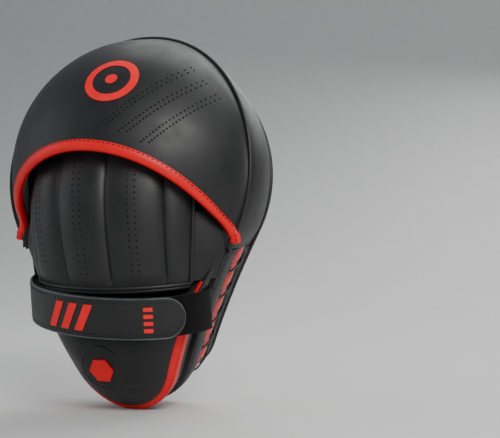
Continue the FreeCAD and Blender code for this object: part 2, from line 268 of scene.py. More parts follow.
def face_away(bm, inside):
    """Turns single faces so that each looks away from a point."""
    bm.normal_update()
    for face in bm.faces:
        if face.normal.dot(face.calc_center_median() - inside) < 0:
            face.normal_flip()


def disc(n, place, inside):
    """The same, from a square grid drawn out to a round one: place gets a radius and a turn, both 0 to 1."""
    def polar(u, v):
        a, b = 2 * u - 1, 2 * v - 1
        x, y = a * math.sqrt(1 - b * b / 2), b * math.sqrt(1 - a * a / 2)
        return place(min(1.0, math.hypot(x, y)), math.atan2(x, y) / (2 * math.pi))
    return patch(n, n, polar, inside)


def thicken(piece, thickness, offset=-1.0):
    mod = piece.modifiers.new("Thickness", "SOLIDIFY")
    mod.thickness = thickness * MM
    mod.offset = offset


def subdivide(piece, levels=1):
    mod = piece.modifiers.new("Smooth", "SUBSURF")
    mod.levels = mod.render_levels = levels


CLOTH_FRAMES = 20


def inflate(piece, held, pressure, cap):
    """Fills a cover as foam does: cloth under pressure, held where held(point) says, in pad millimetres."""
    group = piece.vertex_groups.new(name="held")
    pads = [(v.co - HOME) / MM for v in piece.data.vertices]
    group.add([i for i, p in enumerate(pads) if held(p)], 1.0, "REPLACE")
    rest = [v.co.copy() for v in piece.data.vertices]
    mod = piece.modifiers.new("Cloth", "CLOTH")
    cloth = mod.settings
    cloth.quality = 6
    cloth.mass = 0.3
    cloth.tension_stiffness = cloth.compression_stiffness = 15
    cloth.shear_stiffness = 8
    cloth.bending_stiffness = 0.4
    cloth.use_pressure = True
    cloth.uniform_pressure_force = pressure
    cloth.vertex_group_mass = "held"
    cloth.effector_weights.gravity = 0
    mod.collision_settings.use_collision = False
    scene = bpy.context.scene
    for step in range(1, CLOTH_FRAMES + 1):
        scene.frame_set(step)
    moved = piece.evaluated_get(bpy.context.evaluated_depsgraph_get()).data
    ends = [v.co.copy() for v in moved.vertices]
    piece.modifiers.remove(mod)
    scene.frame_set(1)
    for vertex, start, end in zip(piece.data.vertices, rest, ends):
        step = end - start
        if step.length > cap * MM:
            step *= cap * MM / step.length
        vertex.co = start + step
    piece.data.update()


def surface_of(piece):
    """A search tree of a finished piece's surface, modifiers included, in pad millimetres."""
    evaluated = piece.evaluated_get(bpy.context.evaluated_depsgraph_get())
    bm = bmesh.new()
    bm.from_mesh(evaluated.data)
    bmesh.ops.translate(bm, vec=-HOME, verts=bm.verts)
    bmesh.ops.scale(bm, vec=(1 / MM, 1 / MM, 1 / MM), verts=bm.verts)
    tree = BVHTree.FromBMesh(bm)
    bm.free()
    return tree


def onto(tree, point, direction, lift):
    """The first surface point that a line through point meets, lifted off it."""
    start = point - direction * 120
    hit, normal, _, _ = tree.ray_cast(start, direction, 200)
    if hit is None:
        hit, normal, _, _ = tree.find_nearest(point)
    if normal.dot(direction) > 0:
        normal = -normal
    return hit + normal * lift, normal


def print_on(tree, loops, direction, lift=0.25, grain=2.5):
    """Flat shapes in x and z, cut fine enough to lie on a curved surface, as one mesh."""
    bm = bmesh.new()
    for loop in loops:
        bm.faces.new([bm.verts.new((x, 0, z)) for x, z in loop])
    for axis in (0, 2):
        normal = Vector((1, 0, 0)) if axis == 0 else Vector((0, 0, 1))
        places = [v.co[axis] for v in bm.verts]
        place = math.floor(min(places) / grain) * grain
        while place < max(places):
            bmesh.ops.bisect_plane(bm, geom=bm.verts[:] + bm.edges[:] + bm.faces[:],
                                   plane_co=normal * place, plane_no=normal)
            place += grain
    for v in bm.verts:
        v.co = onto(tree, v.co, direction, lift)[0]
    bm.normal_update()
    for face in bm.faces:
        if face.normal.dot(direction) > 0:
            face.normal_flip()
    return bm


def stitches(bm, points, normals, pitch=STITCH_PITCH, length=2.7, width=0.7, tall=0.3):
    """A row of thread stitches along a line of points on a surface."""
    travelled, due = 0.0, pitch / 2
    for a, b, n, m in zip(points, points[1:], normals, normals[1:]):
        run = (b - a).length
        out = (n + m).normalized()
        while run > 1e-6 and travelled + run >= due:
            forward = (b - a).normalized()
            side = out.cross(forward).normalized()
            turn = Matrix((forward * length / 2, side * width / 2, out * tall)).transposed().to_4x4()
            bmesh.ops.create_uvsphere(bm, u_segments=6, v_segments=4, radius=1, matrix=Matrix.Translation(
                a + forward * (due - travelled)) @ turn)
            due += pitch
        travelled += run


def sweep(path, normals, section, closed=False):
    """A closed section drawn along a path: section gives (out, side) pairs, out along the normal."""
    steps = len(path)

    def place(u, v):
        i = min(round(v * (steps - (0 if closed else 1))), steps) % steps
        before, after = path[max(0, i - 1)], path[min(steps - 1, i + 1)]
        if closed:
            before, after = path[i - 1], path[(i + 1) % steps]
        n = normals[i]
        side = n.cross((after - before).normalized()).normalized()
        out, across = section[round(u * len(section)) % len(section)]
        return path[i] + n * out + side * across
    bm = patch(len(section), steps if closed else steps - 1, place)
    if not closed:
        bmesh.ops.holes_fill(bm, edges=[e for e in bm.edges if e.is_boundary], sides=0)
    bmesh.ops.recalc_face_normals(bm, faces=bm.faces)
    return bm


def ring_section(r, flat=1.0, n=10):
    return [(r * flat * math.cos(2 * math.pi * i / n), r * math.sin(2 * math.pi * i / n)) for i in range(n)]


# ---- materials ---------------------------------------------------------------------------------------
def colour(hex_code):
    """An sRGB hex value as linear RGBA."""
    parts = [int(hex_code[i:i + 2], 16) / 255 for i in (0, 2, 4)]
    return tuple(c / 12.92 if c <= 0.04045 else ((c + 0.055) / 1.055) ** 2.4 for c in parts) + (1.0,)


def node(tree, kind, settings=None, **links):
    """Adds a node, with its settings and the sockets or values that go into it."""
    made = tree.nodes.new(kind)
    for key, value in (settings or {}).items():
        setattr(made, key, value)
    for key, value in links.items():
        socket = made.inputs[int(key[1:])] if key[0] == "i" and key[1:].isdigit() else made.inputs[key]
        if isinstance(value, bpy.types.NodeSocket):
            tree.links.new(value, socket)
        else:
            socket.default_value = value
    return made


def new_material(name, roughness, specular=0.5, sheen=0.0, coat=0.0):
    material = bpy.data.materials.new(name)
    material.use_nodes = True
    shader = material.node_tree.nodes["Principled BSDF"]
    shader.inputs["Roughness"].default_value = roughness
    shader.inputs["Specular IOR Level"].default_value = specular
    shader.inputs["Sheen Weight"].default_value = sheen
    shader.inputs["Coat Weight"].default_value = coat
    return material, material.node_tree, shader


def leather(name, base, light, roughness, grain_mm=0.9, crease_mm=14.0, bump=0.25, coat=0.0, specular=0.5):
    """Polyurethane leather: calendered film on knitted cloth, with a fine pebble and broad soft creases."""
    material, tree, shader = new_material(name, roughness, specular, coat=coat)
    place = node(tree, "ShaderNodeTexCoord").outputs["Object"]
    pebble = node(tree, "ShaderNodeTexVoronoi", {"feature": "SMOOTH_F1"}, Vector=place,
                  Scale=1 / (grain_mm * MM), Smoothness=0.6)
    cloud = node(tree, "ShaderNodeTexNoise", None, Vector=place, Scale=1 / (crease_mm * MM), Detail=5.0,
                 Roughness=0.55)
    fine = node(tree, "ShaderNodeTexNoise", None, Vector=place, Scale=1 / (0.35 * MM), Detail=2.0)
    tone = node(tree, "ShaderNodeValToRGB", None, Fac=cloud.outputs["Fac"])
    tone.color_ramp.elements[0].position, tone.color_ramp.elements[1].position = 0.3, 0.75
    tone.color_ramp.elements[0].color, tone.color_ramp.elements[1].color = colour(base), colour(light)
    pits = node(tree, "ShaderNodeMixRGB", {"blend_type": "MULTIPLY"}, i1=tone.outputs["Color"],
                i2=pebble.outputs["Distance"])
    pits.inputs[0].default_value = 0.18
    tree.links.new(pits.outputs[0], shader.inputs["Base Color"])
    gloss = node(tree, "ShaderNodeMapRange", None, Value=cloud.outputs["Fac"])
    gloss.inputs["From Min"].default_value, gloss.inputs["From Max"].default_value = 0.3, 0.7
    gloss.inputs["To Min"].default_value = roughness - 0.06
    gloss.inputs["To Max"].default_value = roughness + 0.07
    tree.links.new(gloss.outputs["Result"], shader.inputs["Roughness"])
    height = node(tree, "ShaderNodeMath", {"operation": "MULTIPLY_ADD"}, i0=fine.outputs["Fac"], i1=0.35,
                  i2=pebble.outputs["Distance"])
    low = node(tree, "ShaderNodeBump", None, Height=cloud.outputs["Fac"], Strength=0.12, Distance=0.6 * MM)
    high = node(tree, "ShaderNodeBump", None, Height=height.outputs[0], Strength=bump, Distance=0.12 * MM,
                Normal=low.outputs["Normal"])
    tree.links.new(high.outputs["Normal"], shader.inputs["Normal"])
    return material


def knit(name, base, dark, pitch_mm=1.1, roughness=0.75, sheen=0.3):
    """Warp-knitted mesh: rows of small open loops, which read as an even dotted net."""
    material, tree, shader = new_material(name, roughness, 0.35, sheen=sheen)
    place = node(tree, "ShaderNodeTexCoord").outputs["Object"]
    loops = node(tree, "ShaderNodeTexVoronoi", {"feature": "F1"}, Vector=place, Scale=1 / (pitch_mm * MM),
                 Randomness=0.25)
    soft = node(tree, "ShaderNodeTexNoise", None, Vector=place, Scale=1 / (6 * MM), Detail=3.0)
    tone = node(tree, "ShaderNodeValToRGB", None, Fac=loops.outputs["Distance"])
    tone.color_ramp.elements[0].position, tone.color_ramp.elements[1].position = 0.15, 0.6
    tone.color_ramp.elements[0].color, tone.color_ramp.elements[1].color = colour(dark), colour(base)
    wear = node(tree, "ShaderNodeMixRGB", {"blend_type": "MULTIPLY"}, i1=tone.outputs["Color"],
                i2=soft.outputs["Fac"])
    wear.inputs[0].default_value = 0.3
    tree.links.new(wear.outputs[0], shader.inputs["Base Color"])
    dent = node(tree, "ShaderNodeBump", None, Height=loops.outputs["Distance"], Strength=0.5,
                Distance=0.35 * MM)
    tree.links.new(dent.outputs["Normal"], shader.inputs["Normal"])
    return material


def pile(name, base, light, grain_mm=0.6, sheen=0.8):
    """Brushed loop pile: a felt of tiny loops, deep black with a soft bloom at its edges."""
    material, tree, shader = new_material(name, 0.95, 0.15, sheen=sheen)
    shader.inputs["Sheen Roughness"].default_value = 0.6
    place = node(tree, "ShaderNodeTexCoord").outputs["Object"]
    fluff = node(tree, "ShaderNodeTexNoise", None, Vector=place, Scale=1 / (grain_mm * MM), Detail=6.0,
                 Roughness=0.7)
    tone = node(tree, "ShaderNodeValToRGB", None, Fac=fluff.outputs["Fac"])
    tone.color_ramp.elements[0].position, tone.color_ramp.elements[1].position = 0.4, 0.75
    tone.color_ramp.elements[0].color, tone.color_ramp.elements[1].color = colour(base), colour(light)
    tree.links.new(tone.outputs["Color"], shader.inputs["Base Color"])
    fuzz = node(tree, "ShaderNodeBump", None, Height=fluff.outputs["Fac"], Strength=0.9, Distance=0.5 * MM)
    tree.links.new(fuzz.outputs["Normal"], shader.inputs["Normal"])
    return material


def thread(name, base, twist_mm=0.5):
    """Bonded nylon thread: twisted strands with a low waxed gloss."""
    material, tree, shader = new_material(name, 0.42, 0.5)
    place = node(tree, "ShaderNodeTexCoord").outputs["Object"]
    strands = node(tree, "ShaderNodeTexWave", {"wave_type": "BANDS", "bands_direction": "DIAGONAL"},
                   Vector=place, Scale=0.3 / (twist_mm * MM), Distortion=1.0)
    tone = node(tree, "ShaderNodeMixRGB", {"blend_type": "MULTIPLY"}, i1=colour(base),
                i2=strands.outputs["Color"])
    tone.inputs[0].default_value = 0.35
    tree.links.new(tone.outputs[0], shader.inputs["Base Color"])
    ridge = node(tree, "ShaderNodeBump", None, Height=strands.outputs["Fac"], Strength=0.6,
                 Distance=0.2 * MM)
    tree.links.new(ridge.outputs["Normal"], shader.inputs["Normal"])
    return material


def moulded(name, base, light, roughness, grain_mm=0.5):
    """Moulded rubber or screen-printed ink: one even film with a fine eggshell texture."""
    material, tree, shader = new_material(name, roughness, 0.45)
    place = node(tree, "ShaderNodeTexCoord").outputs["Object"]
    speck = node(tree, "ShaderNodeTexNoise", None, Vector=place, Scale=1 / (grain_mm * MM), Detail=3.0)
    cloud = node(tree, "ShaderNodeTexNoise", None, Vector=place, Scale=1 / (9 * MM), Detail=4.0)
    tone = node(tree, "ShaderNodeValToRGB", None, Fac=cloud.outputs["Fac"])
    tone.color_ramp.elements[0].position, tone.color_ramp.elements[1].position = 0.3, 0.7
    tone.color_ramp.elements[0].color, tone.color_ramp.elements[1].color = colour(base), colour(light)
    tree.links.new(tone.outputs["Color"], shader.inputs["Base Color"])
    skin = node(tree, "ShaderNodeBump", None, Height=speck.outputs["Fac"], Strength=0.25,
                Distance=0.1 * MM)
    tree.links.new(skin.outputs["Normal"], shader.inputs["Normal"])
    return material


BLACK_LEATHER = leather("pu_leather_calendered_black", "111213", "19191a", 0.5)
FACE_LEATHER = leather("pu_leather_calendered_face", "101112", "171818", 0.52, crease_mm=22.0)
# painted shade: the gusset rails, side wings and wrist pad wall get a darker copy of the black leather for
# the shade they lie in
SHADED_SIDE_LEATHER = leather("pu_leather_calendered_side_painted_shade", "0d0e0e", "141415", 0.54)
RED_LEATHER = leather("pu_leather_gloss_red", "e4000c", "f2010e", 0.42, grain_mm=0.6, bump=0.1,
                      specular=0.35)
RED_KNIT = knit("polyester_knit_red", "f0000e", "b0000a")
LINING = knit("polyester_lining_brushed", "1b1b1d", "0c0c0d", pitch_mm=0.8, roughness=0.9)
LOOP_PILE = pile("nylon_loop_pile_black", "010101", "0b0b0c", sheen=0.06)
HOOK_TAPE = pile("nylon_hook_tape_black", "0a0a0b", "1c1c1d", grain_mm=1.0, sheen=0.2)
FOAM = moulded("eva_foam_moulded_grey", "3a3b3d", "454648", 0.9, grain_mm=1.2)
BLACK_THREAD = thread("nylon_thread_black", "0b0b0c")
LACE_BRAID = thread("polyester_braid_black", "101011", twist_mm=1.2)
# painted highlight: the strap's bound edge is coloured light grey for the light line that runs along it
HIGHLIGHT_EDGE_LEATHER = leather("pu_leather_edge_painted_highlight", "3c3e40", "5c5f62", 0.33, grain_mm=0.5, bump=0.1)
GEL = moulded("polyurethane_gel_cast_blue", "4d6a78", "5b7886", 0.3, grain_mm=2.5)
BOARD = moulded("polyethylene_foam_board_extruded", "1b1c1d", "242526", 0.4, grain_mm=1.0)
BADGE_RUBBER = moulded("silicone_moulded_black", "161718", "1f2021", 0.55)
RED_RUBBER = moulded("silicone_moulded_red", "e6000e", "f20012", 0.5)
RED_INK = moulded("screen_ink_red", "e8000c", "f4000f", 0.55)
EMBOSS = moulded("heat_pressed_line_black", "060606", "0c0c0c", 0.3)
# painted shade: near-black flat discs stand in for the shade inside punched holes and lace holes
HOLE_PAINTED_SHADE = moulded("punched_hole_painted_shade", "020202", "040404", 0.95)


# ---- stage -------------------------------------------------------------------------------------------
def make_stage():
    bm = bmesh.new()
    bmesh.ops.create_grid(bm, x_segments=1, y_segments=1, size=4.0)
    back = [e for e in bm.edges if all(v.co.y > 3.9 for v in e.verts)]
    bmesh.ops.translate(bm, verts=[v for e in back for v in e.verts], vec=(0, -2.2, 0))
    wall = bmesh.ops.extrude_edge_only(bm, edges=back)["geom"]
    bmesh.ops.translate(bm, verts=[g for g in wall if isinstance(g, bmesh.types.BMVert)], vec=(0, 0.5, 4))
    corner = [e for e in bm.edges if all(abs(v.co.y - 1.8) < 0.01 and v.co.z < 0.01 for v in e.verts)]
    bmesh.ops.bevel(bm, geom=corner, offset=1.2, segments=12, profile=0.5, affect="EDGES", material=-1)
    mesh = bpy.data.meshes.new("studio_floor")
    for face in bm.faces:
        face.smooth = True
    bm.to_mesh(mesh)
    bm.free()
    floor = bpy.data.objects.new("studio_floor", mesh)
    bpy.context.scene.collection.objects.link(floor)
    paper, tree, shader = new_material("seamless_paper_pale", 0.85, 0.3)
    place = node(tree, "ShaderNodeTexCoord").outputs["Object"]
    fibre = node(tree, "ShaderNodeTexNoise", None, Vector=place, Scale=90.0, Detail=4.0)
    tone = node(tree, "ShaderNodeValToRGB", None, Fac=fibre.outputs["Fac"])
    tone.color_ramp.elements[0].color, tone.color_ramp.elements[1].color = colour("c9c9c8"), colour("d2d2d1")
    tree.links.new(tone.outputs["Color"], shader.inputs["Base Color"])
    mesh.materials.append(paper)


def make_light(name, place, target, size, watts, tint):
    light = bpy.data.lights.new(name, "AREA")
    light.shape = "RECTANGLE"
    light.size, light.size_y = size
    light.energy = watts
    light.color = tint
    lamp = bpy.data.objects.new(name, light)
    lamp.location = place
    lamp.rotation_euler = (Vector(target) - Vector(place)).to_track_quat("-Z", "Y").to_euler()
    bpy.context.scene.collection.objects.link(lamp)


def make_lights():
    world = bpy.data.worlds.new("studio")
    bpy.context.scene.world = world
    world.use_nodes = True
    world.node_tree.nodes["Background"].inputs[0].default_value = colour("dfe3e8")
    world.node_tree.nodes["Background"].inputs[1].default_value = 0.4
    make_light("key_softbox", (0.95, -0.85, 0.95), (0, 0, 0.15), (0.8, 0.6), 19, (1.0, 0.99, 0.97))
    make_light("left_fill", (-1.2, -0.5, 0.5), (0, 0, 0.14), (0.7, 1.0), 3, (0.95, 0.97, 1.0))
    make_light("top_strip", (0.1, 0.5, 1.0), (0, 0, 0.2), (1.2, 0.3), 6, (1.0, 1.0, 1.0))
    make_light("face_fill", (0.2, 1.2, 0.8), (0, 0, 0.14), (0.9, 0.6), 7, (1.0, 1.0, 1.0))


def make_camera():
    """An eye 1.1 m from the pad, a little above its middle, turned so that the pad stands on the left."""
    azimuth, elevation, pan = math.radians(30.5), math.radians(1.0), math.radians(4.67)
    distance, middle = 1.1, Vector((0, HOME.y, 0.1335 + HOME.z))
    away = Vector((math.sin(azimuth) * math.cos(elevation), -math.cos(azimuth) * math.cos(elevation),
                   math.sin(elevation)))
    camera = bpy.data.cameras.new("camera")
    camera.lens, camera.sensor_width = 110.9, 36
    eye = bpy.data.objects.new("camera", camera)
    eye.location = middle + away * distance
    look = Matrix.Rotation(-pan, 3, "Z") @ -away
    eye.rotation_euler = look.to_track_quat("-Z", "Y").to_euler()
    bpy.context.scene.collection.objects.link(eye)
    bpy.context.scene.camera = eye


# ---- the striking body -------------------------------------------------------------------------------
def make_face():
    centre_z, flat = 135.0, 0.84

    def place(radius, turn):
        s = turn * 2 * HALF_RIM
        if radius <= flat:
            x, z = outline(s, FACE_EDGE_R)
            f = radius / flat
            return carry(x * f, lerp(centre_z, z, f), FACE_H - 2.5 * (1 - f ** 4))
        swing = (radius - flat) / (1 - flat) * math.pi / 2
        inset = FACE_EDGE_R * (1 - math.sin(swing)) + 0.8 * smooth((radius - flat) / (1 - flat))
        return rim(s, inset, FACE_SEAM_H - (FACE_EDGE_R - 0.3) * math.cos(swing))
    bm = disc(56, place, Vector((0, -20, 130)))
    cover = finish_piece(bm, "face_cover_leather", "pad", FACE_LEATHER, ["face_cover"])
    inflate(cover, lambda p: distance_to_rim(p) < 2.2, pressure=3.0, cap=2.2)
    subdivide(cover)
    thicken(cover, LEATHER)
    return cover


def outline_depth(x, z):
    """How far inside the outline a place on the back seam surface is."""
    head = HEAD_R - math.hypot(x, z - HEAD_Z)
    heel = HEEL_R - math.hypot(x, z - HEEL_Z)
    if z > HEAD_Z - HEAD_R * math.sin(LEAN):
        return head
    if z < HEEL_Z - HEEL_R * math.sin(LEAN):
        return heel
    return HEEL_R + (z - HEEL_Z) * math.sin(LEAN) - abs(x) * math.cos(LEAN)


def distance_to_rim(p):
    """How far inside the outline a point is, carried back to the seam surface."""
    z = BEND_Z + BEND_R * math.sin(math.atan2(p.z - BEND_Z, BEND_R - p.y))
    return outline_depth(p.x / (1 - TAPER * p.y), z)


def make_head_band():
    def place(u, v):
        s = lerp(-JUNCTION_S, JUNCTION_S, u)
        end = min(u, 1 - u) * 2 * JUNCTION_S
        bulge = 4.2 * math.sin(math.pi * v) ** 0.6 * min(1.0, 0.25 + end / 22)
        return rim(s, 0.9 - bulge, lerp(-1.0, FACE_SEAM_H, v))
    bm = patch(150, 14, place, Vector((0, 20, 150)))
    band = finish_piece(bm, "head_band_leather", "pad", BLACK_LEATHER, ["head_band"])
    subdivide(band)
    thicken(band, LEATHER)
    return band


def insert_half(s):
    """Half the opening of the gusset's leather at a place along it, drawn in at each lace."""
    s = s if s <= HALF_RIM else 2 * HALF_RIM - s
    end = max(0.0, s - INSERT_TOP_S)
    opening = INSERT_HALF * math.sqrt(max(0.0, 1 - (1 - min(1.0, end / 7)) ** 2))
    pinch = sum(math.exp(-((s - lace) / 4.5) ** 2) for lace in LACE_S)
    return opening * (1 - 0.32 * min(1.0, pinch))


def make_gusset():
    made = []
    low, high = JUNCTION_S, 2 * HALF_RIM - JUNCTION_S
    rails = (("gusset_front_rail_leather", -1, FACE_SEAM_H, 1.2, ["gusset_front_rail"]),
             ("gusset_back_rail_leather", 1, -0.8, 1.5, ["gusset_back_rail", "gusset_tabs"]))
    for name, way, seam, bulge, gone in rails:
        def place(u, v):
            s = lerp(low, high, u)
            edge = INSERT_H + way * (insert_half(s) + 0.05)
            roll = 1.0 * smooth((v - 0.75) / 0.25)
            return rim(s, 0.6 - bulge * math.sin(math.pi * min(1.0, v / 0.95)) + roll, lerp(seam, edge, v))
        rail = finish_piece(patch(260, 8, place, Vector((0, 20, 90))), name, "pad", SHADED_SIDE_LEATHER,
                            gone)
        thicken(rail, LEATHER)
        made.append(rail)

    def insert(u, v):
        s = lerp(INSERT_TOP_S - 4, 2 * HALF_RIM - INSERT_TOP_S + 4, u)
        near = s if s <= HALF_RIM else 2 * HALF_RIM - s
        press = max(math.exp(-((near - lace) / 3.5) ** 2) for lace in LACE_S)
        swell = math.sin(math.pi * v) * (1.9 - 1.5 * press)
        return rim(s, 1.6 - swell + 0.12 * math.sin(s * 1.7 + v * 9), INSERT_H + (v - 0.5) * 15)
    red = finish_piece(patch(300, 10, insert, Vector((0, 20, 90))), "lace_insert_knit", "pad", RED_KNIT,
                       ["lace_insert"])
    thicken(red, 1.0)
    return made


def make_laces():
    bm = bmesh.new()
    holes = bmesh.new()
    steps = 15
    for lace in LACE_S:
        for side in (1, -1):
            path, normals = [], []
            for i in range(steps):
                t = i / (steps - 1)
                s = lace + 4.0 * (1 - 2 * t)
                s = s if side > 0 else 2 * HALF_RIM - s
                h = INSERT_H + lerp(8.6, -8.6, t)
                inset = -1.4 + 2.4 * abs(2 * t - 1) ** 6
                path.append(rim(s, inset, h))
                normals.append(outward_at(s, h, inset))
            merge_into(bm, sweep(path, normals, ring_section(1.25, flat=0.6)))
            for end in (0, -1):
                out = normals[end]
                turn = out.to_track_quat("Z", "X").to_matrix().to_4x4()
                bmesh.ops.create_uvsphere(bm, u_segments=12, v_segments=8, radius=1.6,
                                          matrix=Matrix.Translation(path[end] + out * 0.9) @ turn
                                          @ Matrix.Diagonal((1.0, 1.0, 0.55, 1.0)))
                # flat discs round the lace ends, coloured as painted shade for the holes the lace goes
                # through
                bmesh.ops.create_circle(holes, cap_ends=True, segments=16, radius=2.3,
                                        matrix=Matrix.Translation(path[end] + out * 0.25) @ turn)
    laces = finish_piece(bm, "lace_braid", "pad", LACE_BRAID, ["lace"])
    subdivide(laces)
    finish_piece(holes, "lace_hole_shade_discs", "pad", HOLE_PAINTED_SHADE)


def merge_into(bm, part):
    """Moves one bmesh's faces into another."""
    spare = bpy.data.meshes.new("spare")
    part.to_mesh(spare)
    part.free()
    bm.from_mesh(spare)
    bpy.data.meshes.remove(spare)


def make_pipings():
    """The corded welts in the seams round the head and round the striking face."""
    steps = 240
    path = [rim(lerp(-JUNCTION_S - 1, JUNCTION_S + 1, i / steps), -0.3, -0.3) for i in range(steps + 1)]
    normals = [outward_at(lerp(-JUNCTION_S - 1, JUNCTION_S + 1, i / steps), -0.3) for i in range(steps + 1)]
    finish_piece(sweep(path, normals, ring_section(1.35)), "hood_piping_cord", "pad", BLACK_LEATHER,
                 ["hood_piping"])
    steps = 360
    around = [2 * HALF_RIM * i / steps for i in range(steps)]
    path = [rim(s, -0.2, FACE_SEAM_H) for s in around]
    normals = [outward_at(s, FACE_SEAM_H) for s in around]
    finish_piece(sweep(path, normals, ring_section(1.4), closed=True), "face_piping_cord", "pad",
                 BLACK_LEATHER, ["face_piping"])


def outward_at(s, h, inset=0.0):
    return (rim(s, inset - 1, h) - rim(s, inset, h)).normalized()


def make_face_print(cover):
    """A red stripe, plain slanted bars below it and pressed lines beside it."""
    tree = surface_of(cover)
    inward = Vector((0, -1, 0))
    edge = ((252, -36.0), (235, -36.5), (205, -34.0), (180, -29.5), (160, -25.5))
    left = [(x - 8.5, z) for z, x in edge]
    right = [(x + 8.5, z - (6 if z == 160 else 0)) for z, x in edge]
    loops = [[left[i], right[i], right[i + 1], left[i + 1]] for i in range(len(edge) - 1)]
    for top, half, tall, x in ((149, 9.5, 20, -23.5), (121, 9.5, 19, -21.0), (94, 9.0, 17, -19.0),
                               (69, 8.5, 14, -17.5)):
        loops.append([(x - half, top), (x + half, top - 6), (x + half, top - 6 - tall),
                      (x - half, top - tall)])
    finish_piece(print_on(tree, loops, inward), "face_stripe_print", "pad", RED_INK)
    lines = []
    for x0, z0, x1, z1 in pressed_lines():
        start, end = Vector((x0, z0)), Vector((x1, z1))
        run = (end - start).normalized() * 0.5
        side = Vector((-run.y, run.x))
        lines.append([tuple(p) for p in (start - side, end - side, end + side, start + side)])
    finish_piece(print_on(tree, lines, inward, lift=0.3, grain=4.0), "face_pressed_lines", "pad", EMBOSS)


def pressed_lines():
    """Pairs of parallel slanted lines down the thumb side of the face, as x and z of both ends."""
    found = []
    for step in range(17):
        z = 44 + 12.5 * step + (3.0 if step % 2 else 0.0)
        ends = [(-9 + i, z + 0.45 * i) for i in range(110) if inside_face(-9 + i, z + 0.45 * i)]
        if len(ends) > 12:
            found.append((*ends[0], *ends[-1]))
    return found


def inside_face(x, z):
    return abs(x) < 0.9 * half_width(z) - 6


def half_width(z, inset=0.0):
    if z > HEAD_Z - (HEAD_R - inset) * math.sin(LEAN):
        return math.sqrt(max(0.0, (HEAD_R - inset) ** 2 - (z - HEAD_Z) ** 2))
    if z < HEEL_Z - (HEEL_R - inset) * math.sin(LEAN):
        return math.sqrt(max(0.0, (HEEL_R - inset) ** 2 - (z - HEEL_Z) ** 2))
    return (HEEL_R - inset + (z - HEEL_Z) * math.sin(LEAN)) / math.cos(LEAN)


# ---- the hood ----------------------------------------------------------------------------------------
def hood_point(u, v, inset=0.0):
    """u from the left foot over the top to the right foot, v from the mouth to the seam."""
    mx, mz = mouth(u)
    s = lerp(-JUNCTION_S + 1, JUNCTION_S - 1, u)
    deep = lerp(min(inset, 3.2), inset, smooth(v / 0.3))
    ox, oz = outline(s, 0.6 + deep)
    t = v ** 1.15
    x, z = lerp(mx, ox, t), lerp(mz, oz, t)
    seam = rim(s, 0.6 + deep, 0.4)
    if v > 0.999:
        return seam
    y = hood_y(x, z, deep)
    return Vector((x, lerp(y, min(y, seam.y), smooth((v - 0.72) / 0.28)), z))


def make_hood():
    cover = finish_piece(patch(110, 44, hood_point, Vector((0, 60, 150))), "hood_cover_leather", "pad",
                         BLACK_LEATHER, ["hood_cover", "hood_foam"])
    inflate(cover, lambda p: distance_to_rim(p) < 1.6 or near_mouth(p) < 3.0, pressure=2.0, cap=0.8)
    subdivide(cover)
    thicken(cover, LEATHER)
    lining = finish_piece(patch(72, 28, lambda u, v: hood_point(u, v, 10.0), Vector((0, 60, 150))),
                          "hood_lining_cloth", "pad", LINING, ["hood_lining"])
    subdivide(lining)
    thicken(lining, 1.2)
    return cover


def near_mouth(p):
    """How far outside the hood's mouth a point is, seen straight on."""
    return (math.hypot(p.x / MOUTH_A, (p.z - MOUTH_Z) / MOUTH_B) - 1) * MOUTH_B if p.z > MOUTH_Z \
        else abs(p.x) - MOUTH_A


def make_hood_binding():
    """A leather strip folded over the hood's mouth, sewn through near its upper edge."""
    steps = 120
    section = ((6.9, 0.15), (6.6, 0.75), (5.2, 1.25), (2.9, 1.5), (0.9, 1.3), (-0.5, 0.4), (-1.1, -1.2),
               (-0.8, -3.0), (0.4, -4.3), (3.0, -5.2), (6.0, -6.0), (6.0, -4.6), (1.2, -3.2), (0.9, -0.8),
               (6.4, -0.6))

    def place(u, v):
        up, out = section[round(v * len(section)) % len(section)]
        here, rise, outward = mouth_frame(u)
        return here + rise * up + outward * out
    bm = patch(steps, len(section), place)
    bmesh.ops.holes_fill(bm, edges=[e for e in bm.edges if e.is_boundary], sides=0)
    bmesh.ops.recalc_face_normals(bm, faces=bm.faces)
    binding = finish_piece(bm, "hood_binding_leather", "pad", RED_LEATHER, ["hood_binding"])
    subdivide(binding)
    row = bmesh.new()
    frames = [mouth_frame(0.004 + 0.992 * i / 240) for i in range(241)]
    stitches(row, [here + rise * 5.5 + outward * 1.1 for here, rise, outward in frames],
             [outward for _, _, outward in frames])
    finish_piece(row, "hood_binding_stitching", "pad", BLACK_THREAD)


def perforate(tree, rows, count, direction, name, radius=0.75):
    """Punched holes along double rows: each row is the two ends of its upper line, then of its lower one."""
    bm = bmesh.new()
    for first, last, first_low, last_low in rows:
        for start, stop in ((first, last), (first_low, last_low)):
            for i in range(count):
                t = i / (count - 1)
                x, z = lerp(start[0], stop[0], t), lerp(start[1], stop[1], t)
                hit, normal = onto(tree, Vector((x, 0, z)), direction, 0.12)
                punch(bm, hit, normal, radius)
    return finish_piece(bm, name, "pad", HOLE_PAINTED_SHADE, smooth_shaded=False)


# a flat disc on the surface, which carries the painted shade of a hole
def punch(bm, hit, normal, radius):
    turn = normal.to_track_quat("Z", "X").to_matrix().to_4x4()
    bmesh.ops.create_circle(bm, cap_ends=True, segments=10, radius=radius,
                            matrix=Matrix.Translation(hit) @ turn)


